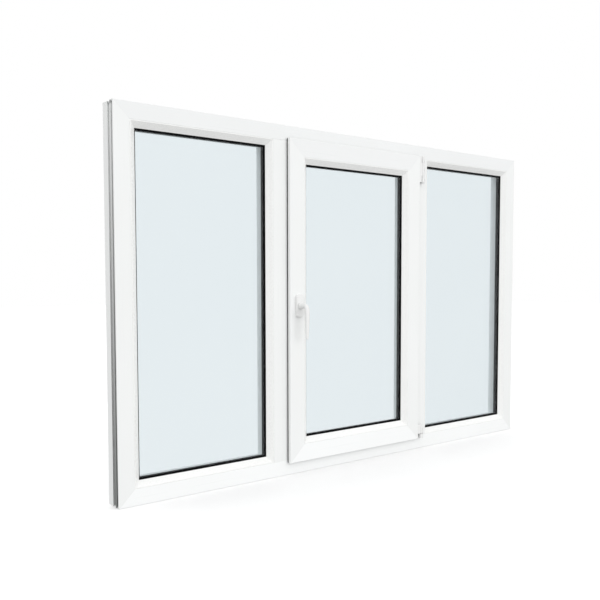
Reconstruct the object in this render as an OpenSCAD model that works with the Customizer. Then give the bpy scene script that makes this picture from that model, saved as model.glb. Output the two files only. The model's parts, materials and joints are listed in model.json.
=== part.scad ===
// Three-light casement window: a fixed light on each side and a side-hung sash between them.
// X runs along the window, Y into the wall (+Y is outdoors), Z up, in millimetres.
// The origin is on the sill's underside, midway along it, on the centre line of its rear seat strip.
// Profiles are drawn as [u, d]: u inward from the edge of their rectangle, d outward from the frame's
// room face.

/* [Overall size] */
// Width over the frame
window_w = 1765; // [1400:5:2400]
// Height over the frame
window_h = 1135; // [900:5:1600]
// Depth of the frame profile
frame_depth = 70; // [68:1:84]
// Width of each fixed light between its glazing rebates
side_light_w = 483; // [350:1:600]

/* [Profiles] */
// Face width of the outer frame
frame_face = 48.5; // [44:0.5:60]
// Face width of a mullion
mullion_face = 60.5; // [56:0.5:76]
// Face width of the sash, from its edge to its bead
sash_face = 57.5; // [57.5:0.5:72]
// Outer wall of every hollow profile
wall = 3; // [2.5:0.1:3.5]
// Inner web of every hollow profile
web = 2; // [1.5:0.1:2.5]
// Thickness of the outdoor leg of the sash, behind its glass
sash_leg = 14; // [12:0.5:18]
// Width of the flat seat strip at the outdoor side of the perimeter
seat_w = 30; // [26:1:32]
// Depth of the fixing channels in the perimeter
channel_depth = 4; // [3:0.5:5]
// Radius of the sash's outer edge
sash_edge_r = 2.5; // [1:0.5:4]

/* [Sash fit] */
// How far the sash's lip covers the frame's face
overlap = 8; // [6:0.5:10]
// Hardware gap between the frame's rebate and the sash's body
air_gap = 12; // [11:0.5:13]
// Gap between the lip of the sash and the frame's face, filled by a seal
overlap_gap = 6; // [4:0.5:7]
// Gap between the sash and the frame's outdoor lip, filled by a seal
seal_gap = 4; // [3:0.5:5]
// Clearance between a seal's tip and the face it closes on
seal_clearance = 0.3; // [0.1:0.1:0.5]

/* [Glazing] */
// Thickness of one pane
pane_t = 4; // [4:1:6]
// Cavity between the panes
cavity = 12; // [12:1:16]
// Width of the glazing bead and of the outdoor lip
bead_w = 20; // [16:0.5:24]
// Depth of the glazing bead
bead_depth = 16.8; // [14:0.1:20]
// Thickness of the gasket between bead and glass
gasket_t = 3; // [2:0.1:4]
// Thickness of the gasket between glass and outdoor lip
rear_gasket_t = 3.2; // [2:0.1:4]
// Width of the glazing gaskets
gasket_w = 6; // [4:0.5:8]
// Height of the setting blocks under and beside the glass
block_h = 5; // [3:0.5:6]
// Length of a setting block
block_len = 100; // [60:5:120]
// Height of the spacer bar with its edge sealant
spacer_h = 20; // [12:0.5:22]

/* [Reinforcement] */
// Wall of the steel bars
steel_t = 1.5; // [1.2:0.1:2]
// Clearance round a steel bar in its chamber
steel_clearance = 0.8; // [0.3:0.1:1.2]

/* [Handle] */
// Height of the handle's spindle above the sill's underside
handle_z = 556; // [400:1:650]
// Backset from the faceplate to the spindle
backset = 15; // [15:0.5:18]
// Width of the rosette
rosette_w = 31; // [26:1:34]
// Height of the rosette
rosette_h = 74; // [60:1:90]
// Thickness of the rosette
rosette_t = 10; // [6:0.5:14]
// Distance from the sash to the centre line of the grip
grip_reach = 45; // [38:1:60]
// Length of the grip
grip_len = 116; // [90:1:140]
// Width of the grip at its top
grip_w = 17; // [14:1:22]
// Thickness of the grip at its top
grip_t = 13; // [10:1:16]
// Side of the square spindle
spindle_side = 7; // [7:1:8]
// Distance between the rosette's screws
screw_pitch = 43; // [40:1:45]

/* [Locking] */
// Travel of the rods for a quarter turn of the handle
rod_travel = 18; // [14:0.5:18]
// Width of the faceplate
faceplate_w = 16; // [14:1:16]
// Thickness of the faceplate
faceplate_t = 2.5; // [2:0.1:3]
// Width of the rods
rod_w = 10; // [8:0.5:10]
// Thickness of the rods
rod_t = 2; // [1.5:0.1:2]
// Radius of a locking cam
cam_r = 5; // [4:0.5:5]
// Height of a locking cam over the faceplate
cam_h = 6.5; // [5:0.5:7]
// Distance of the two side cams from the sash's corners
cam_end = 197; // [150:1:230]

/* [Hinges] */
// Distance of the hinge axis from the sash's edge
hinge_out = 20.5; // [18:0.5:24]
// Distance of the hinge axis from the frame's face
hinge_front = 12; // [10:0.5:14]
// Radius of the hinge barrels
barrel_r = 6; // [5:0.5:7]
// Radius of the hinge pins
pin_r = 3; // [2.5:0.1:3.5]
// Radial clearance of a barrel on its pin
pin_clearance = 0.05; // [0.02:0.01:0.1]
// Height of the top hinge
top_hinge_h = 95; // [80:1:110]
// Height of the bottom hinge's leaf
bottom_leaf_h = 34; // [32:1:60]

/* [Fixings] */
// Radius of the wall fixing holes through the jambs
fixing_r = 3.8; // [3:0.1:5]
// Distance of the wall fixing holes from the frame's ends
fixing_end = 200; // [150:5:250]

/* [Hidden] */
$fn = 32;
eps = 0.01;
far = 4000;

// Depths
glass_t = 2 * pane_t + cavity;
glazing_depth = bead_depth + gasket_t + glass_t + rear_gasket_t;
sash_proud = sash_leg + seal_gap;
sash_depth = glazing_depth + sash_leg;
lip_t = sash_proud - overlap_gap;
seat_line = frame_depth - seat_w / 2;
glass_d = bead_depth + gasket_t;

// The sash's opening, the sash and the glazing rectangles
mullion_x = window_w / 2 - frame_face - side_light_w - mullion_face / 2;
opening_w = 2 * (mullion_x - mullion_face / 2);
opening_h = window_h - 2 * frame_face;
sash_w = opening_w + 2 * overlap;
sash_h = opening_h + 2 * overlap;
sash_glazing_w = sash_w - 2 * sash_face;
sash_glazing_h = sash_h - 2 * sash_face;
side_light_x = window_w / 2 - frame_face - side_light_w / 2;
mid_z = window_h / 2;

// The frame's chambers
bead_groove = 2.5;
bead_groove_d = [7.5, 11];
front_web_d = 15;
steel_chamber_d = [17, 38];
rear_chamber_d = 41;
channel_front_d = [4, 17];
channel_rear_d = [21, frame_depth - seat_w - 1];
hook = 2;
hook_t = 1.5;
frame_edge_r = 1.5;
bead_mitre_gap = 0.1;
bead_edge = 1.2;
bead_flat = 2.8;

fixing_d = (steel_chamber_d[0] + steel_chamber_d[1]) / 2 + 2;

// The sash's body and its hardware groove
body_u = overlap + air_gap;
groove_d = 13 - overlap_gap;
rod_channel_w = 12;
rod_channel_u = 31;
floor_u = 33;
rod_u = body_u + faceplate_t + 0.1;
sash_steel_d = [17, 38];
sash_rear_d = 40.5;

// The gearbox
pivot_u = body_u + backset;
pivot_x = pivot_u - sash_w / 2;
pinion_teeth = 16;
pinion_r = 4 * rod_travel / (2 * PI);
tooth_pitch = 2 * PI * pinion_r / pinion_teeth;
rack_u = max(rod_u, pivot_u - pinion_r - rod_t / 2);
pinion_tip_r = pivot_u - rack_u - 0.1;
pinion_root_r = pivot_u - rack_u - rod_t - 0.3;
pinion_t = 7;
case_w = 12;
case_h = 112;
case_u = [rack_u + rod_t + 0.3, pivot_u + pinion_tip_r + 1.5];
case_along = [mid_z - handle_z - case_h / 2, mid_z - handle_z + case_h / 2];
hub_r = 6.5;
hub_clearance = 0.05;
window_clearance = 0.35;
rack_windows = ceil(rod_travel / tooth_pitch) + 3;

// The locking points: the way along the sash's edge where each cam stands at rest
stile_cams = [cam_end - sash_h / 2, sash_h / 2 - cam_end];
top_cams = [0];
bottom_cams = [0];
corner_leg = 90;
rod_end = corner_leg + rod_travel + 4;
shank_r = 3;
slot_clearance = 0.4;
rod_screw_r = 1.5;
hinge_end = 70;
striker_t = 3;
striker_len = 64;
striker_w = 18;
rail_t = 2.5;
rail_h = 6;

// The faceplate's screws: the way along the sash's edge. Two stand halfway between gearbox and cam
corner_screw = 50;
stile_screws = [
    corner_screw - sash_h / 2, (stile_cams[0] + case_along[0]) / 2,
    (stile_cams[1] + case_along[1]) / 2, sash_h / 2 - corner_screw
];
rail_screws = [corner_screw + body_u - sash_w / 2, sash_w / 2 - body_u - corner_screw];

// The hinges
hinge_x = sash_w / 2 + hinge_out;
hinge_d = -hinge_front;
plate_t = 3;
plate_w = 20;
plate_x = hinge_x + 1.5;
frame_screw_x = plate_x + plate_w - 4.6;
leaf_t = hinge_out - barrel_r - 3.5;
leaf_d = [sash_edge_r - sash_proud, -overlap_gap - 1];
knuckle_h = 24;
knuckle_gap = 0.5;
top_z = [mid_z + sash_h / 2 - top_hinge_h, mid_z + sash_h / 2];
top_knuckle = [top_z[0] + knuckle_h, top_z[1] - knuckle_h];
cup_r = 8;
cup_z = [frame_face - 7.5, frame_face + 8.5];
washer_t = 1.5;
leaf_z = [cup_z[1] + washer_t, cup_z[1] + washer_t + bottom_leaf_h];
bottom_pin_end = leaf_z[0] + 28;
bottom_plate_z = [frame_face + 2, leaf_z[0] + 18];

// The handle
neck_r = 9;
neck_clearance = 0.06;
collar_r = 11;
collar_h = 5;
cover_t = 1.6;
rosette_base_t = rosette_t - cover_t - 0.2;
rosette_front = -sash_proud - rosette_t;
grip_d = -sash_proud - grip_reach;

// Drainage: the ways along the window, the slots' height in the outdoor wall and their size
drain_x = [for (s = [-1, 1], at = [window_w / 2 - 180, 160]) s * at];
drain_z = frame_face - 22;
drain_slot = [30, 5];

WHITE = [0.97, 0.97, 0.96];
BLACK = [0.06, 0.06, 0.07];
STEEL = [0.72, 0.73, 0.74];
GLASS = [0.80, 0.90, 0.93, 0.35];

// ---- helpers ----

// The Y of a depth behind the frame's room face
function y(d) = d - seat_line;

// A rectangle of a profile, from u[0] to u[1] and d[0] to d[1]
module area(u, d) {
    translate([u[0], y(d[0])]) square([u[1] - u[0], d[1] - d[0]]);
}

// A box from x[0] to x[1], d[0] to d[1] and z[0] to z[1]
module block(x, d, z) {
    translate([x[0], y(d[0]), z[0]]) cube([x[1] - x[0], d[1] - d[0], z[1] - z[0]]);
}

// What rounding takes off a profile's corner at [u, d], whose solid lies towards side
module round_off(u, d, r, side) {
    translate([u, y(d)]) difference() {
        translate([side[0] > 0 ? -eps : -r, side[1] > 0 ? -eps : -r]) square(r + eps);
        translate([side[0] * r, side[1] * r]) circle(r);
    }
}

// A bar with the profile given as its child, lying on the bottom edge of a rectangle, mitred to reach;
// each mitre is cut back by gap
module mitred_bar(length, reach, gap) {
    half = length / 2 - gap;
    intersection() {
        rotate([0, -90, 0]) linear_extrude(length, center = true) children();
        rotate([90, 0, 0]) linear_extrude(far, center = true) polygon([
            [-half - reach, -reach], [half + reach, -reach], [half - reach, reach], [reach - half, reach]
        ]);
    }
}

// Turns what lies on the bottom edge of a w by h rectangle, centred on mid_z, to another edge
module on_side(side, w, h) {
    turn = side == "bottom" ? 0 : side == "left" ? 90 : side == "top" ? 180 : -90;
    from_middle = side == "bottom" || side == "top" ? h / 2 : w / 2;
    translate([0, 0, mid_z]) rotate([0, turn, 0]) translate([0, 0, -from_middle]) children();
}

// One mitred member of a w by h rectangle
module member(side, w, h, reach, gap = 0) {
    length = side == "bottom" || side == "top" ? w : h;
    on_side(side, w, h) mitred_bar(length, reach, gap) children();
}

// A ring of rectangular section, between two insets from the edges of a w by h rectangle
module flat_ring(w, h, inset, d) {
    reach = [for (i = inset) [w / 2 - i, h / 2 - i]];
    difference() {
        block([-reach[0].x, reach[0].x], d, [mid_z - reach[0].y, mid_z + reach[0].y]);
        block([-reach[1].x, reach[1].x], [d[0] - 1, d[1] + 1], [mid_z - reach[1].y, mid_z + reach[1].y]);
    }
}

// A countersunk screw whose head's top is at the origin, driven along -Z
module screw(length, shank = 2, head = 3.8, head_h = 2) {
    translate([0, 0, -head_h]) cylinder(head_h, shank, head);
    translate([0, 0, -length]) cylinder(length - head_h, r = shank);
}

// The hole that a screw's head and shank need in a plate of thickness t, whose top is at the origin
module screw_hole(t, shank = 2, head = 3.8, head_h = 2) {
    translate([0, 0, -head_h]) cylinder(head_h, shank + 0.1, head + 0.1);
    translate([0, 0, -t - 1]) cylinder(t + 2, r = shank + 0.1);
    cylinder(1, r = head + 0.1);
}

// ---- profiles ----

// The outer frame: perimeter channels with hooked edges, chambers, a bead groove and the outdoor lip
module frame_profile() {
    lip_u = frame_face + bead_w;
    wall_u = channel_depth + wall;
    groove_u = frame_face - bead_groove;
    difference() {
        union() {
            area([0, frame_face], [0, frame_depth]);
            area([frame_face - 1, lip_u], [glazing_depth, frame_depth]);
        }
        round_off(0, 0, frame_edge_r, [1, 1]);
        round_off(frame_face, 0, frame_edge_r, [-1, 1]);
        round_off(lip_u, frame_depth, frame_edge_r, [-1, -1]);
        for (channel = [channel_front_d, channel_rear_d]) {
            area([-1, hook_t], [channel[0] + hook, channel[1] - hook]);
            area([hook_t, channel_depth], channel);
        }
        area([groove_u, frame_face + 1], bead_groove_d);
        area([wall_u, groove_u - web], [wall, front_web_d]);
        area([wall_u, groove_u - web], steel_chamber_d);
        area([wall, frame_face - wall], [rear_chamber_d, frame_depth - wall]);
        area([frame_face - wall + web, lip_u - wall], [glazing_depth + wall, frame_depth - wall]);
    }
}

// A mullion: the same rebate on both sides of its middle, which is at u = 0
module mullion_profile() {
    half = mullion_face / 2;
    lip_u = half + bead_w;
    chamber = half - bead_groove - web;
    difference() {
        union() {
            area([-half, half], [0, frame_depth]);
            area([-lip_u, lip_u], [glazing_depth, frame_depth]);
        }
        area([-chamber, chamber], [wall, front_web_d]);
        area([-chamber, chamber], steel_chamber_d);
        area([wall - half, half - wall], [rear_chamber_d, frame_depth - wall]);
        for (s = [-1, 1]) {
            round_off(s * half, 0, frame_edge_r, [-s, 1]);
            round_off(s * lip_u, frame_depth, frame_edge_r, [-s, -1]);
            mirror([s < 0 ? 1 : 0, 0]) {
                area([half - bead_groove, half + 1], bead_groove_d);
                area([half - wall + web, lip_u - wall], [glazing_depth + wall, frame_depth - wall]);
            }
        }
    }
}

// The sash, drawn from its own room face: overlap lip, hardware groove, chambers and outdoor leg
module sash_profile() {
    lip_u = sash_face + bead_w;
    groove = lip_t + 13;
    translate([0, -sash_proud]) difference() {
        union() {
            area([0, sash_face], [0, lip_t]);
            area([body_u, sash_face], [lip_t - 1, sash_depth]);
            area([sash_face - 1, lip_u], [glazing_depth, sash_depth]);
        }
        round_off(0, 0, sash_edge_r, [1, 1]);
        round_off(0, lip_t, 1, [1, -1]);
        round_off(sash_face, 0, frame_edge_r, [-1, 1]);
        round_off(lip_u, sash_depth, frame_edge_r, [-1, -1]);
        area([body_u - 1, body_u + faceplate_t], [groove - faceplate_w / 2, groove + faceplate_w / 2]);
        area([body_u, rod_channel_u], [groove - rod_channel_w / 2, groove + rod_channel_w / 2]);
        area([sash_face - bead_groove, sash_face + 1], bead_groove_d);
        area([wall + sash_edge_r, body_u - web], [wall, lip_t - wall]);
        area([body_u, sash_face - bead_groove - web], [wall, front_web_d]);
        area([floor_u, sash_face - wall], sash_steel_d);
        area([body_u + wall, sash_face - wall], [sash_rear_d, sash_depth - wall]);
        area([sash_face - wall + web, lip_u - wall], [glazing_depth + wall, sash_depth - wall]);
    }
}

// A glazing bead with its clip foot, drawn from the face it finishes flush with
module bead_profile() {
    nose = 0.8;
    foot_clearance = 0.2;
    difference() {
        translate([0, y(0)]) polygon([
            [0, bead_depth], [0, bead_edge], [bead_edge, 0], [bead_flat, 0],
            [bead_w - nose, bead_depth - 2 * nose], [bead_w, bead_depth - nose], [bead_w, bead_depth]
        ]);
        translate([0, y(0)]) polygon([
            [web, wall], [wall, wall], [bead_depth - wall, bead_depth - wall], [web, bead_depth - wall]
        ]);
    }
    area([foot_clearance - bead_groove, 0.5],
        [bead_groove_d[0] + foot_clearance, bead_groove_d[1] - foot_clearance]);
}

// ---- glazing, for a light of w by h between its rebates, around x = 0 ----

module beads(w, h) {
    color(WHITE) for (side = ["bottom", "left", "top", "right"])
        member(side, w, h, bead_w + 1, bead_mitre_gap) bead_profile();
}

module bead_gasket(w, h) {
    color(BLACK) flat_ring(w, h, [bead_w - gasket_w, bead_w], [bead_depth, glass_d]);
}

module rebate_gasket(w, h) {
    color(BLACK) flat_ring(w, h, [bead_w - gasket_w, bead_w], [glass_d + glass_t, glazing_depth]);
}

module pane(w, h, d) {
    color(GLASS) block([block_h - w / 2, w / 2 - block_h], [d, d + pane_t],
        [mid_z - h / 2 + block_h, mid_z + h / 2 - block_h]);
}

module spacer(w, h) {
    color(BLACK)
        flat_ring(w, h, [block_h, block_h + spacer_h], [glass_d + pane_t, glass_d + pane_t + cavity]);
}

module setting_blocks(w, h) {
    end = 90;
    for (side = ["bottom", "left", "top", "right"]) {
        length = side == "bottom" || side == "top" ? w : h;
        color("dimgray") on_side(side, w, h) for (s = [-1, 1])
            translate([s * (length / 2 - end), 0, 0])
                block([-block_len / 2, block_len / 2], [glass_d, glass_d + glass_t], [0, block_h]);
    }
}

// ---- frame ----

module fixing_holes() {
    for (z = [fixing_end, window_h - fixing_end])
        translate([0, y(fixing_d), z]) rotate([0, 90, 0])
            cylinder(far, r = fixing_r, center = true);
}

module frame_member(side) {
    color(WHITE) member(side, window_w, window_h, frame_face + bead_w + 1) frame_profile();
}

module frame_jamb_left() {
    color(WHITE) difference() {
        frame_member("left");
        fixing_holes();
    }
}

module frame_jamb_right() {
    color(WHITE) difference() {
        frame_member("right");
        fixing_holes();
    }
}

module frame_head() {
    frame_member("top");
}

// The sill has slots that let water out of its rebate to the outdoors, behind the drain caps
module frame_sill() {
    color(WHITE) difference() {
        frame_member("bottom");
        for (x = drain_x) {
            block([x - drain_slot[0] / 2, x + drain_slot[0] / 2], [frame_depth - wall - 1, frame_depth + 1],
                [drain_z - drain_slot[1] / 2, drain_z + drain_slot[1] / 2]);
            block([x - drain_slot[0] / 2, x + drain_slot[0] / 2],
                [glazing_depth - rear_gasket_t - drain_slot[1], glazing_depth - rear_gasket_t],
                [frame_face - wall - 1, frame_face + 1]);
        }
    }
}

// A mullion runs between the rebates of head and sill, and its lips between theirs
module mullion(side) {
    lip_end = frame_face + bead_w;
    color(WHITE) translate([side * mullion_x, 0, 0]) difference() {
        translate([0, 0, frame_face]) linear_extrude(opening_h) mullion_profile();
        for (z = [[0, lip_end], [window_h - lip_end, window_h]])
            block([-mullion_face, mullion_face], [glazing_depth, frame_depth + 1], z);
    }
}

module mullion_left() {
    mullion(-1);
}

module mullion_right() {
    mullion(1);
}

// A U-shaped bar lying on a rectangle's bottom edge, open towards that edge when open is true
module steel_bar(length, u, d, open) {
    inner_u = [open ? u[0] - 1 : u[0] + steel_t, u[1] - steel_t];
    rotate([0, -90, 0]) linear_extrude(length, center = true) difference() {
        area(u, d);
        area(inner_u, [d[0] + steel_t, d[1] - steel_t]);
    }
}

// Box bars in the four members and in both mullions, cut back from the welds
module frame_steels() {
    c = steel_clearance;
    u = [channel_depth + wall + c, frame_face - bead_groove - web - c];
    d = [steel_chamber_d[0] + c, steel_chamber_d[1] - c];
    cut_back = 2 * u[1] + 4;
    half = mullion_face / 2 - bead_groove - web - c;
    color(STEEL) difference() {
        union() {
            for (side = ["bottom", "top"])
                on_side(side, window_w, window_h) steel_bar(window_w - cut_back, u, d, false);
            for (side = ["left", "right"])
                on_side(side, window_w, window_h) steel_bar(window_h - cut_back, u, d, false);
            for (s = [-1, 1])
                translate([s * mullion_x, 0, mid_z]) rotate([0, 90, 0])
                    steel_bar(opening_h - 4, [-half, half], d, false);
        }
        fixing_holes();
    }
}

// Where the mullions meet head and sill: the way in from the connector's foot, up at the sill
module at_mullion_ends() {
    for (s = [-1, 1], end = [0, 1])
        translate([s * mullion_x, 0, end == 0 ? frame_face : window_h - frame_face])
            rotate([0, 180 * end, 0]) children();
}

// Blocks that slide into the mullions' steel and are screwed through the frame
module mullion_connectors() {
    c = steel_clearance + steel_t + 0.4;
    half = mullion_face / 2 - bead_groove - web - c;
    color("gray") difference() {
        at_mullion_ends() block([-half, half], [steel_chamber_d[0] + c, steel_chamber_d[1] - c], [0.2, 34]);
        mullion_screws(2.6);
    }
}

module mullion_screws(r = 2.5) {
    color(STEEL) at_mullion_ends() for (x = [-14, 14])
        translate([x, y((steel_chamber_d[0] + steel_chamber_d[1]) / 2), 0]) {
            translate([0, 0, -frame_face + channel_depth]) cylinder(frame_face + 24, r = r);
            translate([0, 0, -frame_face + channel_depth - 3]) cylinder(3, r = r + 2.5);
        }
}

// The seal on the frame's outdoor lip, which the sash's outdoor face closes on
module opening_seal() {
    bulb = [air_gap + 2, air_gap + 5];
    color(BLACK) {
        flat_ring(opening_w, opening_h, [3, bulb[1]], [glazing_depth - 1.5, glazing_depth]);
        flat_ring(opening_w, opening_h, bulb, [glazing_depth - seal_gap + seal_clearance, glazing_depth]);
    }
}

// Keeps on the rebate, each beside the cam of its side; the rail backs the cam on its outdoor side
module striker_plates() {
    color(STEEL) for_each_cam() difference() {
        union() {
            block([-striker_len / 2, striker_len / 2], [groove_d - striker_w / 2, groove_d + striker_w / 2],
                [overlap, overlap + striker_t]);
            block([-striker_len / 2, striker_len / 2],
                [groove_d + cam_r + rail_t / 2, groove_d + cam_r + 1.5 * rail_t],
                [overlap, overlap + striker_t + rail_h]);
        }
        for (s = [-1, 1]) translate([s * (striker_len / 2 - 8), y(groove_d - 2), overlap + striker_t])
            screw_hole(striker_t);
    }
}

// Children at each cam's middle of travel, on the sash's edge
module for_each_cam() {
    for (i = [["left", stile_cams], ["top", top_cams], ["bottom", bottom_cams]], at = i[1])
        on_side(i[0], sash_w, sash_h) translate([at + rod_travel / 2, 0, 0]) children();
}

// Low covers with an open underside, clipped over the outdoor drain slots
module drain_caps() {
    cap = [42, 14, 4];
    color(WHITE) for (x = drain_x) difference() {
        translate([x, y(frame_depth), drain_z]) rotate([-90, 0, 0]) linear_extrude(cap[2])
            rounded_bar(cap[0], cap[1]);
        block([x - drain_slot[0] / 2, x + drain_slot[0] / 2], [frame_depth - 1, frame_depth + cap[2] - 1.2],
            [drain_z - cap[1], drain_z + drain_slot[1] / 2]);
    }
}

// A flat bar with round ends, centred
module rounded_bar(length, width) {
    square([length - width, width], center = true);
    for (s = [-1, 1]) translate([s * (length - width) / 2, 0]) circle(width / 2);
}

// ---- hinges ----

// A cylinder round the hinge axis, between two heights
module on_axis(z, r) {
    translate([hinge_x, y(hinge_d), z[0]]) cylinder(z[1] - z[0], r = r);
}

// A frame-side barrel and the web that joins it to the plate behind
module frame_knuckle(z, r) {
    on_axis(z, r);
    block([hinge_x + 1, hinge_x + barrel_r], [hinge_d, 0], z);
}

// The plate on the mullion that carries the frame-side knuckles
module frame_plate(z) {
    block([plate_x, plate_x + plate_w], [-plate_t, 0], z);
}

module frame_hinge_screw_places() {
    for (z = [top_z[0] + 12, (top_z[0] + top_z[1]) / 2, top_z[1] - 16,
            bottom_plate_z[0] + 6, bottom_plate_z[1] - 6])
        translate([frame_screw_x, y(-plate_t), z]) rotate([90, 0, 0]) children();
}

module top_hinge_bracket() {
    color(WHITE) difference() {
        union() {
            frame_plate(top_z);
            frame_knuckle([top_z[0], top_knuckle[0] - knuckle_gap], barrel_r);
            frame_knuckle([top_knuckle[1] + knuckle_gap, top_z[1]], barrel_r);
        }
        on_axis([top_z[0] - 1, top_z[1] + 1], pin_r + pin_clearance);
        frame_hinge_screw_places() screw_hole(plate_t, 1.6, 3, 1.5);
    }
}

module top_hinge_pin() {
    color(STEEL) {
        on_axis([top_z[0] - 2, top_z[1] + 0.5], pin_r);
        on_axis([top_z[0] - 4, top_z[0] - 0.05], pin_r + 1.6);
    }
}

module bottom_hinge_bearing() {
    color(WHITE) difference() {
        union() {
            frame_plate(bottom_plate_z);
            on_axis(cup_z, cup_r);
            frame_knuckle([bottom_plate_z[0], cup_z[1]], cup_r);
        }
        on_axis([cup_z[0] + 3, cup_z[1] + 1], pin_r + pin_clearance);
        frame_hinge_screw_places() screw_hole(plate_t, 1.6, 3, 1.5);
    }
}

module bottom_hinge_pin() {
    color(STEEL) on_axis([cup_z[0] + 3, bottom_pin_end], pin_r);
}

module hinge_washer() {
    color(BLACK) difference() {
        on_axis([cup_z[1], leaf_z[0]], cup_r - 0.5);
        on_axis([cup_z[1] - 1, leaf_z[0] + 1], pin_r + pin_clearance);
    }
}

// A sash-side leaf on the edge of the overlap lip, with its web and barrel
module sash_leaf(plate_z, barrel_z, pin_z) {
    edge_x = sash_w / 2;
    color(WHITE) difference() {
        union() {
            block([edge_x, edge_x + leaf_t], leaf_d, plate_z);
            block([edge_x, hinge_x], [hinge_d - 2.5, hinge_d + 2.5], barrel_z);
            on_axis(barrel_z, barrel_r);
        }
        on_axis(pin_z, pin_r + pin_clearance);
        sash_hinge_screw_places() screw_hole(leaf_t, 1.4, 2.2, 1.2);
    }
}

module sash_hinge_screw_places() {
    for (z = [top_knuckle[0] - 10, top_knuckle[1] + 10, leaf_z[0] + 12, leaf_z[1] - 8])
        translate([sash_w / 2 + leaf_t, y((leaf_d[0] + leaf_d[1]) / 2), z]) rotate([0, 90, 0]) children();
}

module top_hinge_arm() {
    sash_leaf([top_z[0], top_z[1]], top_knuckle, [top_z[0], top_z[1]]);
}

module bottom_hinge_leaf() {
    sash_leaf([leaf_z[0], leaf_z[1]], leaf_z, [leaf_z[0] - 1, bottom_pin_end + 0.5]);
}

// ---- sash ----

module sash_member(side) {
    color(WHITE) member(side, sash_w, sash_h, sash_face + bead_w + 1) sash_profile();
}

// Holes through the stile's room wall for the spindle and the rosette's screws, and the gearbox pocket
module gearbox_pocket() {
    u = [rod_channel_u - 1, case_u[1] + 0.5];
    at_spindle() {
        rotate([90, 0, 0]) cylinder(sash_proud + groove_d + 1, r = spindle_side);
        for (s = [-1, 1]) translate([0, 0, s * screw_pitch / 2]) rotate([90, 0, 0])
            cylinder(sash_proud + groove_d + 1, r = 3);
    }
    block([u[0] - sash_w / 2, u[1] - sash_w / 2], [groove_d - case_w / 2 - 0.2, groove_d + case_w / 2 + 0.2],
        [handle_z - case_h / 2 - 1, handle_z + case_h / 2 + 1]);
}

// Children with the origin on the spindle's axis, in the middle of the gearbox
module at_spindle() {
    translate([pivot_x, y(groove_d), handle_z]) children();
}

module sash_stile_handle() {
    color(WHITE) difference() {
        sash_member("left");
        gearbox_pocket();
    }
}

module sash_stile_hinge() {
    sash_member("right");
}

module sash_rail_top() {
    sash_member("top");
}

module sash_rail_bottom() {
    sash_member("bottom");
}

// U bars, open towards the hardware groove so that the gearbox goes in between their legs
module sash_steels() {
    c = steel_clearance;
    u = [floor_u + c, sash_face - wall - c];
    d = [sash_steel_d[0] - sash_proud + c, sash_steel_d[1] - sash_proud - c];
    cut_back = 2 * u[1] + 4;
    color(STEEL) difference() {
        union() {
            for (side = ["bottom", "top"])
                on_side(side, sash_w, sash_h) steel_bar(sash_w - cut_back, u, d, true);
            for (side = ["left", "right"])
                on_side(side, sash_w, sash_h) steel_bar(sash_h - cut_back, u, d, true);
        }
        gearbox_pocket();
    }
}

module sash_overlap_seal() {
    color(BLACK) flat_ring(sash_w, sash_h, [1.2, 6.5], [-overlap_gap, -seal_clearance]);
}

module faceplate_bars() {
    long = [sash_w - body_u - hinge_end, sash_h - 2 * body_u];
    plate_d = [groove_d - faceplate_w / 2 + 0.1, groove_d + faceplate_w / 2 - 0.1];
    on_side("left", sash_w, sash_h)
        block([-long[1] / 2, long[1] / 2], plate_d, [body_u, body_u + faceplate_t]);
    on_side("top", sash_w, sash_h)
        block([-sash_w / 2 + hinge_end, sash_w / 2 - body_u - faceplate_t - 0.2], plate_d,
            [body_u, body_u + faceplate_t]);
    on_side("bottom", sash_w, sash_h)
        block([-sash_w / 2 + body_u + faceplate_t + 0.2, sash_w / 2 - hinge_end], plate_d,
            [body_u, body_u + faceplate_t]);
}

module faceplate_screw_places() {
    for (i = [["left", stile_screws], ["top", rail_screws], ["bottom", rail_screws]], at = i[1])
        on_side(i[0], sash_w, sash_h) translate([at, y(groove_d), body_u]) rotate([180, 0, 0]) children();
}

// Bars that close the hardware groove on three sides, slotted where the cams travel
module faceplates() {
    slot_r = shank_r + slot_clearance;
    color(STEEL) difference() {
        faceplate_bars();
        for_each_cam() translate([0, y(groove_d), body_u - 1]) linear_extrude(faceplate_t + 2)
            rounded_bar(rod_travel + 2 * slot_r, 2 * slot_r);
        faceplate_screw_places() screw_hole(faceplate_t, rod_screw_r, 3, 1.5);
    }
}

// Angle housings that lead the flexible strips round the two corners on the handle side
module corner_drives() {
    u = [rod_u, rod_channel_u - 0.5];
    d = [groove_d - rod_w / 2, groove_d + rod_w / 2];
    color(STEEL) difference() {
        for (s = [-1, 1]) {
            z = mid_z + s * (sash_h / 2 - u[0]);
            leg = s * corner_leg;
            thick = s * (u[1] - u[0]);
            block([u[0] - sash_w / 2, u[1] - sash_w / 2], d, [min(z, z - leg), max(z, z - leg)]);
            block([u[0] - sash_w / 2, u[0] + corner_leg - sash_w / 2], d,
                [min(z, z - thick), max(z, z - thick)]);
        }
        faceplate_screw_places() translate([0, 0, -20]) cylinder(20, r = rod_screw_r + 0.1);
    }
}

// ---- gearbox, handle and rods ----

module gearbox_case() {
    d = [groove_d - case_w / 2, groove_d + case_w / 2];
    color(STEEL) difference() {
        block([case_u[0] - sash_w / 2, case_u[1] - sash_w / 2], d,
            [handle_z - case_h / 2, handle_z + case_h / 2]);
        at_spindle() rotate([90, 0, 0]) {
            cylinder(pinion_t + 0.6, r = pinion_tip_r + 0.6, center = true);
            cylinder(case_w + 2, r = hub_r + hub_clearance, center = true);
            for (s = [-1, 1]) translate([0, s * screw_pitch / 2, 0])
                cylinder(case_w + 2, r = 2.5, center = true);
        }
    }
}

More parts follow.
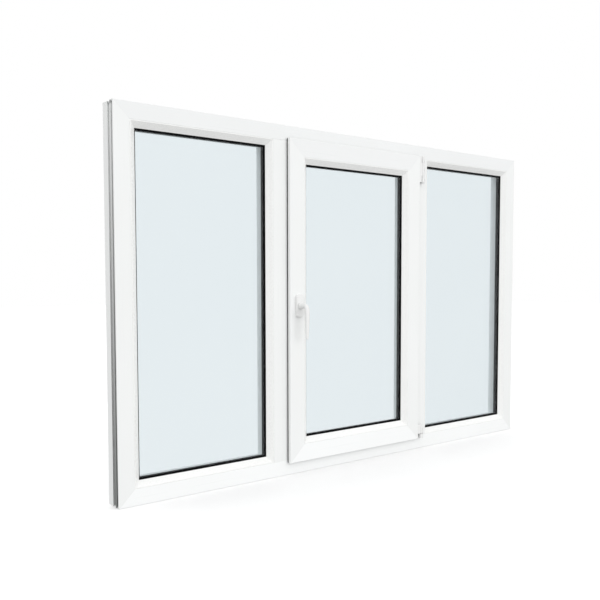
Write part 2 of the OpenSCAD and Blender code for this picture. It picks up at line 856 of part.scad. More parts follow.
// One tooth of the pinion, pointing along +X
module tooth() {
    tip = 0.30 * tooth_pitch;
    foot = 0.56 * tooth_pitch;
    polygon([
        [pinion_root_r - 1, -foot / 2], [pinion_tip_r, -tip / 2],
        [pinion_tip_r, tip / 2], [pinion_root_r - 1, foot / 2]
    ]);
}

// The toothed wheel that the spindle turns; its teeth reach through the windows of the stile rod
module gearbox_pinion() {
    color(STEEL) at_spindle() rotate([90, 0, 0]) difference() {
        union() {
            linear_extrude(pinion_t, center = true) {
                circle(pinion_root_r);
                for (i = [0:pinion_teeth - 1]) rotate(180 + i * 360 / pinion_teeth) tooth();
            }
            cylinder(case_w, r = hub_r, center = true);
        }
        cube([spindle_side + 0.1, spindle_side + 0.1, case_w + 2], center = true);
    }
}

module handle_spindle() {
    length = sash_proud + groove_d + rosette_t + grip_reach / 2;
    color(STEEL) at_spindle() translate([-spindle_side / 2, -length + case_w / 2, -spindle_side / 2])
        cube([spindle_side, length, spindle_side]);
}

module rosette_outline() {
    corner_r = 11;
    hull() for (x = [-1, 1], z = [-1, 1])
        translate([x * (rosette_w / 2 - corner_r), z * (rosette_h / 2 - corner_r)]) circle(corner_r);
}

// Children standing on the sash's face, round the spindle's axis
module on_rosette_seat() {
    translate([pivot_x, y(-sash_proud), handle_z]) rotate([90, 0, 0]) children();
}

// A base plate whose bore the handle's neck turns in
module handle_rosette() {
    color("gray") on_rosette_seat() difference() {
        linear_extrude(rosette_base_t) offset(delta = -cover_t - 0.15) rosette_outline();
        translate([0, 0, -1]) cylinder(rosette_t, r = neck_r + neck_clearance);
        for (s = [-1, 1]) translate([0, s * screw_pitch / 2, rosette_base_t])
            screw_hole(rosette_base_t, 2.5, 4.6, 2.6);
    }
}

// The cap that snaps over the base plate and hides its screws
module rosette_cover() {
    step = 2;
    color(WHITE) on_rosette_seat() difference() {
        union() {
            linear_extrude(rosette_t - step) rosette_outline();
            translate([0, 0, rosette_t - step]) linear_extrude(step) offset(delta = -1.5) rosette_outline();
        }
        translate([0, 0, -1]) linear_extrude(rosette_t - cover_t + 1)
            offset(delta = -cover_t) rosette_outline();
        translate([0, 0, -1]) cylinder(rosette_t + 2, r = neck_r + neck_clearance);
    }
}

// Two machine screws through the base plate, the stile and the gearbox
module rosette_screws() {
    color(STEEL) on_rosette_seat() for (s = [-1, 1]) translate([0, s * screw_pitch / 2, rosette_base_t])
        screw(rosette_base_t + sash_proud + groove_d + 2, 2.4, 4.5, 2.6);
}

// The neck comes out of the rosette and carries the grip, which hangs down and tapers to a round end
module handle_lever() {
    end_z = -(grip_len - 12);
    shoulder = 10;
    socket = spindle_side + 0.1;
    color(WHITE) translate([pivot_x, 0, handle_z]) difference() {
        union() {
            translate([0, y(-sash_proud - 0.2), 0]) rotate([90, 0, 0]) cylinder(grip_reach - 2, r = neck_r);
            translate([0, y(rosette_front - 0.3), 0]) rotate([90, 0, 0]) cylinder(collar_h, r = collar_r);
            translate([0, y(grip_d), 0]) hull() {
                translate([0, 0, shoulder - grip_t / 2]) scale([grip_w / grip_t, 1, 1]) sphere(grip_t / 2);
                translate([0, 0, -10]) scale([grip_w / grip_t, 1, 1]) sphere(grip_t / 2);
                translate([0, 0, end_z]) sphere(5);
            }
        }
        translate([-socket / 2, y(rosette_front) - grip_reach / 2 + 1, -socket / 2])
            cube([socket, rosette_t + grip_reach / 2, socket]);
    }
}

// A strip with its cams riveted on, between two ways along a side of the sash
module rod(side, from, to, cams) {
    on_side(side, sash_w, sash_h) {
        block([from, to], [groove_d - rod_w / 2, groove_d + rod_w / 2], [rod_u, rod_u + rod_t]);
        for (at = cams) translate([at, y(groove_d), 0]) {
            translate([0, 0, body_u - 0.5]) cylinder(rod_u - body_u + 1, r = shank_r);
            translate([0, 0, body_u - cam_h - 0.4]) cylinder(cam_h, r = cam_r);
        }
    }
}

// A thicker length of the stile rod, where the pinion stands off it
module rod_rack() {
    reach = (rack_windows + 1) * tooth_pitch;
    if (rack_u > rod_u)
        block([rod_u - sash_w / 2, rack_u + rod_t - sash_w / 2],
            [groove_d - rod_w / 2, groove_d + rod_w / 2], [handle_z - reach, handle_z + reach]);
}

// The windows in the stile rod that the pinion's teeth reach into
module rod_windows() {
    height = 0.52 * tooth_pitch + window_clearance;
    for (i = [-rack_windows:rack_windows])
        block([rod_u - sash_w / 2 - 1, rack_u + rod_t - sash_w / 2 + 1],
            [groove_d - pinion_t / 2 - 0.3, groove_d + pinion_t / 2 + 0.3],
            [handle_z + i * tooth_pitch - height / 2, handle_z + i * tooth_pitch + height / 2]);
}

// The slots that let the rod slide past the faceplate's screws
module rod_screw_slots() {
    slot_r = rod_screw_r + slot_clearance;
    on_side("left", sash_w, sash_h) for (at = stile_screws)
        translate([at - rod_travel / 2, y(groove_d), rod_u - 1]) linear_extrude(rod_t + 2)
            rounded_bar(rod_travel + 2 * slot_r, 2 * slot_r);
}

module stile_rod() {
    end = sash_h / 2 - rod_u - rod_end;
    color(STEEL) difference() {
        union() {
            rod("left", -end, end, stile_cams);
            rod_rack();
        }
        rod_windows();
        rod_screw_slots();
    }
}

module top_rod() {
    color(STEEL) rod("top", hinge_end - sash_w / 2 + 24, sash_w / 2 - rod_u - rod_end, top_cams);
}

module bottom_rod() {
    color(STEEL) rod("bottom", rod_u + corner_leg + 4 - sash_w / 2, sash_w / 2 - hinge_end - 24 - rod_travel,
        bottom_cams);
}

// ---- fasteners of the frame and of the sash ----

module frame_hardware_screws() {
    color(STEEL) {
        frame_hinge_screw_places() screw(20, 1.5, 2.9, 1.5);
        for_each_cam() for (s = [-1, 1])
            translate([s * (striker_len / 2 - 8), y(groove_d - 2), overlap + striker_t]) screw(16);
    }
}

module sash_hardware_screws() {
    color(STEEL) {
        sash_hinge_screw_places() screw(leaf_t + 9, 1.3, 2.1, 1.2);
        faceplate_screw_places() screw(20, rod_screw_r, 2.9, 1.5);
    }
}

// ---- the glazing of the three lights ----

module light(side) {
    translate([side * side_light_x, 0, 0]) children();
}

module side_light_setting_blocks() {
    for (side = [-1, 1]) light(side) setting_blocks(side_light_w, opening_h);
}

module in_sash() {
    translate([0, -sash_proud, 0]) children();
}

module left_light_room_pane() {
    light(-1) pane(side_light_w, opening_h, glass_d);
}

module left_light_outdoor_pane() {
    light(-1) pane(side_light_w, opening_h, glass_d + pane_t + cavity);
}

module left_light_spacer() {
    light(-1) spacer(side_light_w, opening_h);
}

module left_light_beads() {
    light(-1) beads(side_light_w, opening_h);
}

module left_light_bead_gasket() {
    light(-1) bead_gasket(side_light_w, opening_h);
}

module left_light_rebate_gasket() {
    light(-1) rebate_gasket(side_light_w, opening_h);
}

module right_light_room_pane() {
    light(1) pane(side_light_w, opening_h, glass_d);
}

module right_light_outdoor_pane() {
    light(1) pane(side_light_w, opening_h, glass_d + pane_t + cavity);
}

module right_light_spacer() {
    light(1) spacer(side_light_w, opening_h);
}

module right_light_beads() {
    light(1) beads(side_light_w, opening_h);
}

module right_light_bead_gasket() {
    light(1) bead_gasket(side_light_w, opening_h);
}

module right_light_rebate_gasket() {
    light(1) rebate_gasket(side_light_w, opening_h);
}

module sash_room_pane() {
    in_sash() pane(sash_glazing_w, sash_glazing_h, glass_d);
}

module sash_outdoor_pane() {
    in_sash() pane(sash_glazing_w, sash_glazing_h, glass_d + pane_t + cavity);
}

module sash_spacer() {
    in_sash() spacer(sash_glazing_w, sash_glazing_h);
}

module sash_beads() {
    in_sash() beads(sash_glazing_w, sash_glazing_h);
}

module sash_bead_gasket() {
    in_sash() bead_gasket(sash_glazing_w, sash_glazing_h);
}

module sash_rebate_gasket() {
    in_sash() rebate_gasket(sash_glazing_w, sash_glazing_h);
}

module sash_setting_blocks() {
    in_sash() setting_blocks(sash_glazing_w, sash_glazing_h);
}

frame_jamb_left();
frame_jamb_right();
frame_head();
frame_sill();
mullion_left();
mullion_right();
frame_steels();
mullion_connectors();
mullion_screws();
opening_seal();
striker_plates();
frame_hardware_screws();
drain_caps();
left_light_room_pane();
left_light_outdoor_pane();
left_light_spacer();
left_light_beads();
left_light_bead_gasket();
left_light_rebate_gasket();
right_light_room_pane();
right_light_outdoor_pane();
right_light_spacer();
right_light_beads();
right_light_bead_gasket();
right_light_rebate_gasket();
side_light_setting_blocks();
top_hinge_bracket();
top_hinge_pin();
bottom_hinge_bearing();
bottom_hinge_pin();
hinge_washer();
sash_stile_handle();
sash_stile_hinge();
sash_rail_top();
sash_rail_bottom();
sash_steels();
sash_overlap_seal();
sash_room_pane();
sash_outdoor_pane();
sash_spacer();
sash_beads();
sash_bead_gasket();
sash_rebate_gasket();
sash_setting_blocks();
top_hinge_arm();
bottom_hinge_leaf();
sash_hardware_screws();
gearbox_case();
faceplates();
corner_drives();
handle_rosette();
rosette_cover();
rosette_screws();
handle_lever();
handle_spindle();
gearbox_pinion();
stile_rod();
top_rod();
bottom_rod();
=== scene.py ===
# %% [markdown]
# # A three-light casement window
# The real window is a white plastic frame that stands in a hole in the wall: two lights of fixed
# glass with an opening sash between them. Its profiles, glass, seals, hinges and lock are already
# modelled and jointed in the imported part. A scene could import that as one mesh, but then nothing
# could be painted or turned on its own, so this one loads it piece by piece and keeps every piece
# where the part says. What is left to do here is what an engineer's model lacks: soft edges, a
# shaped handle and real finishes.

# %% Load the window
import json
import math

import bmesh
import bpy
from mathutils import Matrix, Vector

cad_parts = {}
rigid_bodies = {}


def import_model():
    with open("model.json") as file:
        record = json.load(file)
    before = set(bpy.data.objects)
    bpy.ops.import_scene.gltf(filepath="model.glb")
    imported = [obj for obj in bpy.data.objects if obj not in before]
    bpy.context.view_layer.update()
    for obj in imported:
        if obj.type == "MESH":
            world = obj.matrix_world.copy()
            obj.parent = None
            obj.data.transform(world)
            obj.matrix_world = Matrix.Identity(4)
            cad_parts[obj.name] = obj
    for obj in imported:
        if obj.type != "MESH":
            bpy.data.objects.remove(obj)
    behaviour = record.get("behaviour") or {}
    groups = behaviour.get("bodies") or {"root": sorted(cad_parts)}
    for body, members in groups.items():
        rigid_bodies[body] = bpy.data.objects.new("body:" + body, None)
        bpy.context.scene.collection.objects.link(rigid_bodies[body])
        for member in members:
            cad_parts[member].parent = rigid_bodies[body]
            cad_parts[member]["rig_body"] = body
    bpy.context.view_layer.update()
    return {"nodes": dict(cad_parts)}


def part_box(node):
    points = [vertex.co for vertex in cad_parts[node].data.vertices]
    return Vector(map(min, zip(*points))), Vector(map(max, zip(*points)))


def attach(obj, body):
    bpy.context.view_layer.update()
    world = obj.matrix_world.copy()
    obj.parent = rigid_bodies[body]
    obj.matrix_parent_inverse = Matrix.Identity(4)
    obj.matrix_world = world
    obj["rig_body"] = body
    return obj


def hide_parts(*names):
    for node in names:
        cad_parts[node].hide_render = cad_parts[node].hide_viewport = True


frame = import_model()
nodes = frame["nodes"]
MM = 0.001

# %% [markdown]
# ## The viewpoint
# A catalogue shot of a window is taken from the room side and from the left, so that the depth of
# the profile shows. The camera could be aimed at the window's middle, but on a real tripod it is kept
# nearly level so that uprights stay upright, and the lens is shifted a little to centre the window.

# %% Camera
SENSOR = 36.0
camera_data = bpy.data.cameras.new("camera")
camera_data.sensor_width = SENSOR
camera_data.lens = 43.26
camera_data.shift_y = 0.0276
camera = bpy.data.objects.new("camera", camera_data)
camera.location = (-1.6779, -1.9439, 0.6496)
camera.rotation_euler = (math.radians(90 - 3.14), math.radians(0.096), math.radians(-37.18))
bpy.context.scene.collection.objects.link(camera)
bpy.context.scene.camera = camera

# %% [markdown]
# ## Light and floor
# White plastic shows its shape only through small differences in light. In a daylight studio, light
# comes from everywhere, most of it from outdoors and from the left, and least from below.
# Many lamps could copy that, and each would leave its own hard shadow. One sky whose brightness
# changes slowly with direction, with one large soft lamp, gives the same calm shading.

# %% Sky, lamp and floor
RIGHT_FILL = 1.1
LEFT_FILL = 1.3
OUTDOOR_FILL = 1.12
LOW_FILL = 0.55
MIRROR_FILL = 0.1
SEEN_WHITE = 1.0


def from_to(tree, value, source, target):
    """A value moved from the span of source to the span of target, and held at its ends."""
    ramp = tree.nodes.new("ShaderNodeMapRange")
    for socket, number in zip(("From Min", "From Max", "To Min", "To Max"), (*source, *target)):
        ramp.inputs[socket].default_value = number
    tree.links.new(value, ramp.inputs["Value"])
    return ramp.outputs["Result"]


def calculated(tree, operation, first, second=None):
    """One step of arithmetic between sockets or numbers."""
    step = tree.nodes.new("ShaderNodeMath")
    step.operation = operation
    for socket, value in zip(step.inputs, (first, second)):
        if isinstance(value, (int, float)):
            socket.default_value = value
        elif value is not None:
            tree.links.new(value, socket)
    return step.outputs[0]


def chosen(tree, choice, otherwise, strength):
    """Strength where choice is 1, and the value of otherwise where it is 0."""
    mix = tree.nodes.new("ShaderNodeMix")
    mix.inputs["B"].default_value = strength
    tree.links.new(choice, mix.inputs["Factor"])
    tree.links.new(otherwise, mix.inputs["A"])
    return mix.outputs["Result"]


def sky():
    """A world that is plain white where it is seen, dimmer from below, and dark in mirror images."""
    world = bpy.data.worlds.new("studio")
    world.use_nodes = True
    tree = world.node_tree
    tree.nodes.clear()
    way = tree.nodes.new("ShaderNodeTexCoord")
    split = tree.nodes.new("ShaderNodeSeparateXYZ")
    tree.links.new(way.outputs["Generated"], split.inputs[0])
    across = from_to(tree, split.outputs["X"], (-0.9, 0.2), (LEFT_FILL, RIGHT_FILL))
    daylight = from_to(tree, split.outputs["Y"], (0, 0.6), (1, OUTDOOR_FILL))
    height = from_to(tree, split.outputs["Z"], (-0.15, 0.15), (LOW_FILL, 1))
    fill = calculated(tree, "MULTIPLY", calculated(tree, "MULTIPLY", across, daylight), height)
    ray = tree.nodes.new("ShaderNodeLightPath")
    fill = chosen(tree, ray.outputs["Is Glossy Ray"], fill, MIRROR_FILL)
    seen = calculated(tree, "MAXIMUM", ray.outputs["Is Camera Ray"], ray.outputs["Is Transmission Ray"])
    glow = tree.nodes.new("ShaderNodeBackground")
    glow.inputs["Color"].default_value = (1, 1, 1, 1)
    tree.links.new(chosen(tree, seen, fill, SEEN_WHITE), glow.inputs["Strength"])
    out = tree.nodes.new("ShaderNodeOutputWorld")
    tree.links.new(glow.outputs[0], out.inputs["Surface"])
    return world


bpy.context.scene.world = sky()
bpy.context.scene.view_settings.view_transform = "Standard"

LAMP_WATTS, LAMP_WIDTH = 72, 4.0
lamp_data = bpy.data.lights.new("soft_lamp", "AREA")
lamp_data.shape = "DISK"
lamp_data.size = LAMP_WIDTH
lamp_data.energy = LAMP_WATTS
lamp = bpy.data.objects.new("soft_lamp", lamp_data)
lamp.location = (0.5, -5.2, 1.6)
lamp.rotation_euler = (Vector((0, 0, 0.5)) - lamp.location).to_track_quat("-Z", "Y").to_euler()
bpy.context.scene.collection.objects.link(lamp)
lamp.visible_glossy = False
lamp.visible_transmission = False


def flat_floor(size=14.0, gap=0.4 * MM):
    """A pale square floor just under the sill, not seen in mirror images or through glass."""
    bm = bmesh.new()
    bmesh.ops.create_grid(bm, x_segments=8, y_segments=8, size=size)
    bmesh.ops.translate(bm, verts=bm.verts, vec=(0, 0, -gap))
    mesh = bpy.data.meshes.new("studio_floor")
    bm.to_mesh(mesh)
    bm.free()
    floor = bpy.data.objects.new("studio_floor", mesh)
    bpy.context.scene.collection.objects.link(floor)
    floor.visible_diffuse = False
    floor.visible_transmission = False
    floor.visible_glossy = False
    return floor


floor = flat_floor()
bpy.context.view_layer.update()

# %% [markdown]
# ## A small kit for finishes
# Every finish here is a real coating with faint unevenness: the colour drifts a little over a
# hand's width, the gloss changes with it, and a fine grain shows in reflections. An image could hold
# that, but it would need unwrapping and has one size. Noise read from Object coordinates needs
# neither, because each piece lies where it was modelled, and its pattern is in metres.

# %% Finish helpers
def new_finish(name):
    """A material with its Principled shader and node tree."""
    material = bpy.data.materials.new(name)
    material.use_nodes = True
    tree = material.node_tree
    return material, tree, tree.nodes["Principled BSDF"]


def metre_coordinates(tree, stretch=(1, 1, 1)):
    """Object coordinates in metres, stretched along the way a profile runs."""
    where = tree.nodes.new("ShaderNodeTexCoord")
    mapping = tree.nodes.new("ShaderNodeMapping")
    mapping.inputs["Scale"].default_value = stretch
    tree.links.new(where.outputs["Object"], mapping.inputs["Vector"])
    return mapping.outputs["Vector"]


def noise(tree, vector, scale, detail=3.0):
    """A noise value round 0.5, with so many blobs to the metre."""
    cloud = tree.nodes.new("ShaderNodeTexNoise")
    cloud.inputs["Scale"].default_value = scale
    cloud.inputs["Detail"].default_value = detail
    tree.links.new(vector, cloud.inputs["Vector"])
    return cloud.outputs["Fac"]


def spread(tree, value, low, high, source=(0.3, 0.7)):
    """A value moved to the span from low to high, by default from the middle of a noise."""
    return from_to(tree, value, source, (low, high))


def two_tone(tree, value, first, second):
    """Colour that goes from first to second with value."""
    mix = tree.nodes.new("ShaderNodeMix")
    mix.data_type = "RGBA"
    mix.inputs["A"].default_value = (*first, 1)
    mix.inputs["B"].default_value = (*second, 1)
    tree.links.new(value, mix.inputs["Factor"])
    return mix.outputs["Result"]


def relief(tree, shader, height, depth_mm, strength=0.5):
    """Bump of a real depth in millimetres."""
    bump = tree.nodes.new("ShaderNodeBump")
    bump.inputs["Strength"].default_value = strength
    bump.inputs["Distance"].default_value = depth_mm * MM
    tree.links.new(height, bump.inputs["Height"])
    tree.links.new(bump.outputs["Normal"], shader.inputs["Normal"])


def grained_finish(name, first, second, gloss, grain, depth_mm=0.02, metal=0.0):
    """A coating whose colour drifts from first to second and whose roughness spans gloss."""
    material, tree, shader = new_finish(name)
    vector = metre_coordinates(tree)
    drift = noise(tree, vector, 7.0)
    tree.links.new(two_tone(tree, spread(tree, drift, 0, 1), first, second), shader.inputs["Base Color"])
    fine = noise(tree, vector, grain, 2.0)
    tree.links.new(spread(tree, fine, *gloss), shader.inputs["Roughness"])
    relief(tree, shader, fine, depth_mm)
    shader.inputs["Metallic"].default_value = metal
    return material


# %% [markdown]
# ## Extruded white plastic
# The profiles are pushed hot through a die, which leaves hair-fine lines along their length, and the
# corners are welded and scraped, which leaves a shallow groove down each mitre. The groove could be
# cut into every profile, but it is a quarter of a millimetre deep and follows one rule: it lies where a
# point is as far from the upright edge as from the level one. So the finish works it out.

# %% White profiles
UPVC_PALE, UPVC_WARM = (0.86, 0.872, 0.868), (0.845, 0.857, 0.85)
SEAM_W, SEAM_SHADE, SEAM_GREY = 1.2 * MM, 0.25, (0.66, 0.67, 0.67)
CHANNEL_DEPTH, CHANNEL_FROM, SEAT_STRIP = 4.4 * MM, 4 * MM, 31 * MM
# Grey of the dust and painted shade in the frame's side channels.
CHANNEL_DUST_AND_SHADE = (0.10, 0.108, 0.105)


def mitre_seam(tree, width, low, high):
    """1 on the scraped weld grooves of a frame of that width, standing between two heights."""
    split = tree.nodes.new("ShaderNodeSeparateXYZ")
    tree.links.new(metre_coordinates(tree), split.inputs[0])
    from_side = calculated(tree, "SUBTRACT", width / 2, calculated(tree, "ABSOLUTE", split.outputs["X"]))
    from_centre = calculated(tree, "SUBTRACT", split.outputs["Z"], (low + high) / 2)
    from_middle = calculated(tree, "ABSOLUTE", from_centre)
    from_end = calculated(tree, "SUBTRACT", (high - low) / 2, from_middle)
    apart = calculated(tree, "ABSOLUTE", calculated(tree, "SUBTRACT", from_side, from_end))
    return spread(tree, apart, 1, 0, (0, SEAM_W))


def channel_dust_and_shade(tree, white, width, high):
    """Greys the fixing channels down the outer sides with dust and painted shade, most of all low down and
    just under the top corner.
    """
    split = tree.nodes.new("ShaderNodeSeparateXYZ")
    tree.links.new(metre_coordinates(tree), split.inputs[0])
    inward = calculated(tree, "SUBTRACT", width / 2, calculated(tree, "ABSOLUTE", split.outputs["X"]))
    before_chamber = spread(tree, inward, 1, 0, (CHANNEL_DEPTH, CHANNEL_DEPTH + MM))
    front, back = (corner.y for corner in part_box("frame_jamb_left"))
    after_face = spread(tree, split.outputs["Y"], 0, 1, (front + CHANNEL_FROM, front + CHANNEL_FROM + MM))
    before_seat = spread(tree, split.outputs["Y"], 1, 0, (back - SEAT_STRIP - MM, back - SEAT_STRIP))
    band = calculated(tree, "MULTIPLY", after_face, before_seat)
    inside = calculated(tree, "MULTIPLY", band, before_chamber)
    # Dust and painted shade: darkest near the floor, fading upwards, and darker again just under the top
    # corner.
    dust_and_shade_low_down = spread(tree, split.outputs["Z"], 0.82, 0.12, (0, high))
    top_corner_dust_and_shade = spread(tree, split.outputs["Z"], 0, 0.6, (high - 12 * MM, high - 8 * MM))
    mix = tree.nodes.new("ShaderNodeMix")
    mix.data_type = "RGBA"
    mix.inputs["B"].default_value = (*CHANNEL_DUST_AND_SHADE, 1)
    deepest = calculated(tree, "MAXIMUM", dust_and_shade_low_down, top_corner_dust_and_shade)
    tree.links.new(calculated(tree, "MULTIPLY", inside, deepest), mix.inputs["Factor"])
    tree.links.new(white, mix.inputs["A"])
    return mix.outputs["Result"]


def painted_light_by_height(tree, white):
    """A level member's colour with painted light: painted shade greys the head a touch and painted light
    whitens the sill.
    """
    split = tree.nodes.new("ShaderNodeSeparateXYZ")
    tree.links.new(metre_coordinates(tree), split.inputs[0])
    mix = tree.nodes.new("ShaderNodeMix")
    mix.data_type = "RGBA"
    mix.blend_type = "MULTIPLY"
    mix.inputs["Factor"].default_value = 1.0
    tree.links.new(white, mix.inputs["A"])
    # Painted light and shade by height: colour multiplied brighter low down and greyer high up.
    height = spread(tree, split.outputs["Z"], 0, 1, (0.1, 1.0))
    tree.links.new(two_tone(tree, height, (1.07, 1.07, 1.075), (0.975, 0.975, 0.98)), mix.inputs["B"])
    return mix.outputs["Result"]


def profile_finish(name, along, seam, dust_and_shade=False):
    """Satin white plastic with extrusion lines along x or z and weld grooves in its mitres; level members
    get painted light by height, and uprights can have their side channels greyed with dust and painted
    shade.
    """
    material, tree, shader = new_finish(name)
    drift = noise(tree, metre_coordinates(tree), 4.0)
    white = two_tone(tree, spread(tree, drift, 0, 1), UPVC_PALE, UPVC_WARM)
    # Level members get painted light: a greyer head and a whiter sill.
    if along == "x":
        white = painted_light_by_height(tree, white)
    stretch = (3, 900, 900) if along == "x" else (900, 900, 3)
    lines = noise(tree, metre_coordinates(tree, stretch), 1.0, 2.0)
    shader.inputs["Specular IOR Level"].default_value = 0.45
    tree.links.new(spread(tree, lines, 0.27, 0.36), shader.inputs["Roughness"])
    height = spread(tree, lines, 0.0, 0.12)
    # Dust and painted shade in the uprights' side channels.
    if dust_and_shade:
        white = channel_dust_and_shade(tree, white, seam[0], seam[2])
    if seam:
        groove = mitre_seam(tree, *seam)
        shade = tree.nodes.new("ShaderNodeMix")
        shade.data_type = "RGBA"
        shade.inputs["B"].default_value = (*SEAM_GREY, 1)
        tree.links.new(calculated(tree, "MULTIPLY", groove, SEAM_SHADE), shade.inputs["Factor"])
        tree.links.new(white, shade.inputs["A"])
        white = shade.outputs["Result"]
        height = calculated(tree, "SUBTRACT", height, groove)
    tree.links.new(white, shader.inputs["Base Color"])
    relief(tree, shader, height, 0.25, 0.4)
    return material


def extent(*names):
    """Width, lowest and highest point of some nodes together."""
    boxes = [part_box(n) for n in names]
    lows, highs = [b[0] for b in boxes], [b[1] for b in boxes]
    return max(h.x for h in highs) - min(l.x for l in lows), min(l.z for l in lows), max(h.z for h in highs)


def paint(names, material):
    """Gives nodes one finish on every slot."""
    for name in names:
        mesh = nodes[name].data
        mesh.materials.clear()
        mesh.materials.append(material)


frame_seam = extent("frame_jamb_left", "frame_jamb_right")
sash_seam = extent("sash_stile_handle", "sash_stile_hinge")
# The uprights' side channels get dust and painted shade.
paint(["frame_jamb_left", "frame_jamb_right"], profile_finish("upvc_frame_upright", "z", frame_seam, True))
paint(["frame_head", "frame_sill"], profile_finish("upvc_frame_level", "x", frame_seam))
paint(["mullion_left", "mullion_right"], profile_finish("upvc_mullion", "z", None))
paint(["sash_stile_handle", "sash_stile_hinge"], profile_finish("upvc_sash_upright", "z", sash_seam))
paint(["sash_rail_top", "sash_rail_bottom"], profile_finish("upvc_sash_level", "x", sash_seam))
print("frame", [round(v, 4) for v in frame_seam], "sash", [round(v, 4) for v in sash_seam])

# %% [markdown]
# ## Glazing beads, gaskets and glass
# The beads are the same plastic in short, smoother lengths. Behind them lies soft black rubber, then
# two panes with an air gap, held apart by a black bar. Glass could be painted as a pale sheet, but
# then nothing would show behind it, so it is clear glass with the faint blue-green of its iron, and
# the slow waves that float glass has.

# %% Beads, rubber, spacer bars and panes
bead_nodes = [n for n in nodes if n.endswith("_beads")]
rubber_nodes = [n for n in nodes if n.endswith(("gasket", "_seal"))]
spacer_nodes = [n for n in nodes if n.endswith("_spacer")]
pane_nodes = [n for n in nodes if n.endswith("_pane")]

BEAD = ((0.905, 0.91, 0.90), (0.885, 0.892, 0.88))
paint(bead_nodes, grained_finish("bead_white", *BEAD, (0.24, 0.32), 260))
RUBBER = ((0.006, 0.006, 0.007), (0.01, 0.01, 0.011))
SPACER = ((0.007, 0.008, 0.009), (0.012, 0.013, 0.015))
rubber = grained_finish("gasket_rubber", *RUBBER, (0.8, 0.95), 900, depth_mm=0.05)
spacer = grained_finish("spacer_black", *SPACER, (0.75, 0.9), 700, depth_mm=0.03)
for dull in (rubber, spacer):
    dull.node_tree.nodes["Principled BSDF"].inputs["Specular IOR Level"].default_value = 0.1
paint(rubber_nodes, rubber)
paint(spacer_nodes, spacer)


def glass_finish():
    """Clear float glass, faintly blue-green, with slow waves a few centimetres long."""
    material, tree, shader = new_finish("float_glass")
    drift = noise(tree, metre_coordinates(tree), 2.0, 1.0)
    tint = two_tone(tree, spread(tree, drift, 0, 1), (0.905, 0.940, 0.953), (0.900, 0.936, 0.950))
    tree.links.new(tint, shader.inputs["Base Color"])
    shader.inputs["Transmission Weight"].default_value = 1.0
    shader.inputs["IOR"].default_value = 1.5
    shader.inputs["Roughness"].default_value = 0.0
    relief(tree, shader, noise(tree, metre_coordinates(tree, (1, 1, 0.3)), 22.0, 1.0), 0.02, 0.2)
    return material


paint(pane_nodes, glass_finish())
for name in pane_nodes:
    nodes[name].visible_shadow = False
print("beads", len(bead_nodes), "rubber", len(rubber_nodes), "panes", len(pane_nodes))

# %% [markdown]
# ## Metal and moulded parts
# Rods, faceplates, screws and reinforcement are steel with a thin zinc coat, which is bright but
# cloudy. The strikers and the gearbox are cast, so they are duller and finely grained. The handle and
# the hinges wear white powder coat, which flows into a faint orange peel as it melts.

# %% Metal, blocks and powder coat
ZINC = ((0.60, 0.61, 0.62), (0.50, 0.51, 0.50))
CASTING = ((0.52, 0.53, 0.54), (0.44, 0.45, 0.46))
POWDER_COAT = ((0.83, 0.835, 0.83), (0.815, 0.82, 0.813))
BLOCK = ((0.05, 0.052, 0.055), (0.075, 0.078, 0.08))
NYLON = ((0.46, 0.46, 0.45), (0.40, 0.40, 0.39))
CAP = ((0.83, 0.84, 0.838), (0.80, 0.81, 0.805))
FLOOR = ((0.975, 0.975, 0.975), (0.965, 0.965, 0.965))
zinc_nodes = [
    "frame_steels", "mullion_screws", "frame_hardware_screws", "bottom_hinge_pin",
    "sash_steels", "sash_hardware_screws", "faceplates", "rosette_screws", "handle_spindle",
    "gearbox_pinion", "stile_rod", "top_rod", "bottom_rod",
]
cast_nodes = [
    "mullion_connectors", "striker_plates", "gearbox_case", "corner_drives", "handle_rosette",
]
hinge_nodes = ["top_hinge_bracket", "top_hinge_arm", "bottom_hinge_bearing", "bottom_hinge_leaf"]
block_nodes = ["side_light_setting_blocks", "sash_setting_blocks"]

paint(zinc_nodes, grained_finish("zinc_plate", *ZINC, (0.26, 0.42), 60, depth_mm=0.01, metal=1.0))
casting = grained_finish("zinc_casting", *CASTING, (0.42, 0.58), 800, depth_mm=0.05, metal=0.9)
paint(cast_nodes, casting)
powder_coat = grained_finish("powder_coat", *POWDER_COAT, (0.2, 0.3), 420, depth_mm=0.04)
paint(hinge_nodes + ["top_hinge_pin", "handle_lever", "rosette_cover"], powder_coat)
paint(block_nodes, grained_finish("block_plastic", *BLOCK, (0.45, 0.6), 500))
paint(["hinge_washer"], grained_finish("washer_nylon", *NYLON, (0.35, 0.5), 900))
paint(["drain_caps"], grained_finish("cap_plastic", *CAP, (0.28, 0.36), 500))

floor_finish = grained_finish("pale_floor", *FLOOR, (0.85, 0.95), 30, depth_mm=0.02)
floor_finish.node_tree.nodes["Principled BSDF"].inputs["Specular IOR Level"].default_value = 0.0
floor.data.materials.append(floor_finish)

# %% [markdown]
# ## The handle's lever
# The lever is one casting: a round neck on a collar, an elbow, and a grip that gets slimmer towards
# its tip. The part holds it as a cylinder and a tapered bar, which is right for collision and too
# plain to look at. It could be sculpted from a block, but a casting like this is drawn as a row of
# ovals along a bent line, so it is lofted through such ovals and smoothed.

# %% Handle lever
spindle = (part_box("handle_spindle")[0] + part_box("handle_spindle")[1]) / 2
sash_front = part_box("sash_stile_handle")[0].y
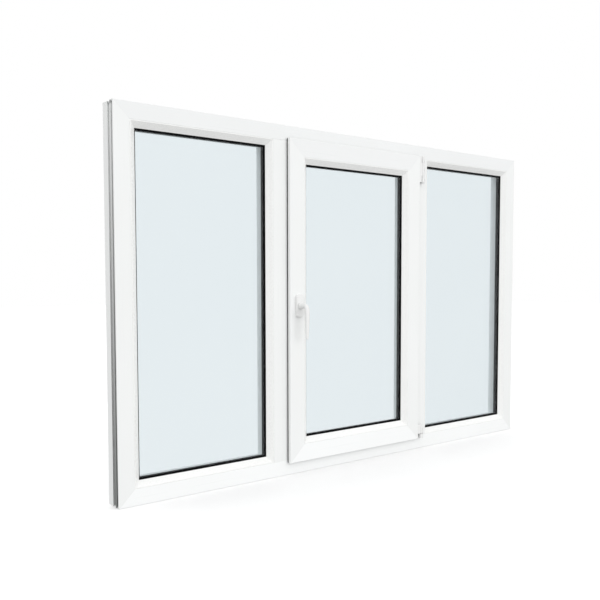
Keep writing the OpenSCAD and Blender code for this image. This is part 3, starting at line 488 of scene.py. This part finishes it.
# Each oval: out from the sash and down from the spindle, its turn downwards, width and thickness
LEVER_OVALS = [
    (10.3, 0, 0, 20.8, 20.8), (10.8, 0, 0, 22, 22), (13.9, 0, 0, 22, 22), (15.0, 0, 0, 21, 21),
    (15.6, 0, 0, 18.4, 18.4), (18.0, 0, 0, 17.4, 17.4), (26.0, 0, 0, 16.8, 16.8),
    (34.0, 0.2, 6, 16.8, 16.2), (40.2, 2.2, 30, 17.0, 15.4), (43.6, 7.4, 60, 17.2, 14.2),
    (44.6, 15.0, 82, 17.2, 13.2), (44.9, 28.0, 90, 17.0, 12.9), (44.9, 50.0, 91, 15.6, 12.2),
    (44.6, 74.0, 92, 13.6, 11.0), (44.3, 94.0, 92, 11.6, 9.8), (44.2, 104.0, 92, 10.2, 9.0),
    (44.1, 108.0, 92, 7.0, 6.4),
]


def oval(bm, out, down, turn, wide, thick, cap):
    """One section of the lever; returns its edges."""
    place = Matrix.Translation((spindle.x, sash_front - out * MM, spindle.z - down * MM))
    place = place @ Matrix.Rotation(math.radians(90 + turn), 4, "X")
    place = place @ Matrix.Diagonal((wide * MM, thick * MM, 1, 1))
    made = bmesh.ops.create_circle(bm, segments=16, radius=0.5, cap_ends=cap, matrix=place)
    return {edge for vert in made["verts"] for edge in vert.link_edges}


def new_piece(bm, name, finish, body, stands_for):
    """A mesh object from bm that rides on a body and stands for CAD nodes."""
    bmesh.ops.recalc_face_normals(bm, faces=bm.faces)
    for face in bm.faces:
        face.smooth = True
    mesh = bpy.data.meshes.new(name)
    bm.to_mesh(mesh)
    bm.free()
    mesh.materials.append(finish)
    piece = bpy.data.objects.new(name, mesh)
    bpy.context.scene.collection.objects.link(piece)
    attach(piece, body)
    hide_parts(*stands_for)
    return piece


bm = bmesh.new()
last = len(LEVER_OVALS) - 1
rings = [oval(bm, *numbers, cap=i in (0, last)) for i, numbers in enumerate(LEVER_OVALS)]
for near, far in zip(rings, rings[1:]):
    bmesh.ops.bridge_loops(bm, edges=list(near | far))
lever = new_piece(bm, "handle_lever_shaped", powder_coat, "handle", ["handle_lever"])
smooth = lever.modifiers.new("smooth", "SUBSURF")
smooth.levels = smooth.render_levels = 2
print("lever faces:", len(lever.data.polygons), "from", len(LEVER_OVALS), "ovals")

# %% [markdown]
# ## Soft edges on moulded parts
# Nothing that is cast, moulded or coated has a knife edge, and it is the thin light along an edge
# that makes a part look real. The edges could be rounded in the part's source, which makes its
# solids heavy, or faked by the finish. Here the part's own mesh is copied, its loose triangles are
# joined, flat areas are merged, and its sharp edges get a small round.

# %% Rounded copies of the hinges and the rosette cover
SHARP = math.radians(30)


def softened(name, body, finish, width_mm):
    """A copy of a CAD node with its sharp edges rounded, which stands for that node."""
    bm = bmesh.new()
    bm.from_mesh(nodes[name].data)
    bmesh.ops.remove_doubles(bm, verts=bm.verts, dist=0.01 * MM)
    bmesh.ops.dissolve_limit(bm, verts=bm.verts, edges=bm.edges, angle_limit=math.radians(1))
    sharp = [e for e in bm.edges if len(e.link_faces) == 2 and e.calc_face_angle(0) > SHARP]
    bmesh.ops.bevel(
        bm, geom=sharp, offset=width_mm * MM, segments=3, profile=0.5, affect="EDGES",
        clamp_overlap=True, material=-1, offset_type="OFFSET",
    )
    piece = new_piece(bm, name + "_soft", finish, body, [name])
    piece.data.set_sharp_from_angle(angle=math.radians(40))
    even = piece.modifiers.new("even", "WEIGHTED_NORMAL")
    even.keep_sharp = True
    return piece


for name in hinge_nodes:
    softened(name, nodes[name]["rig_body"], powder_coat, 0.6)
softened("rosette_cover", "sash", powder_coat, 0.7)
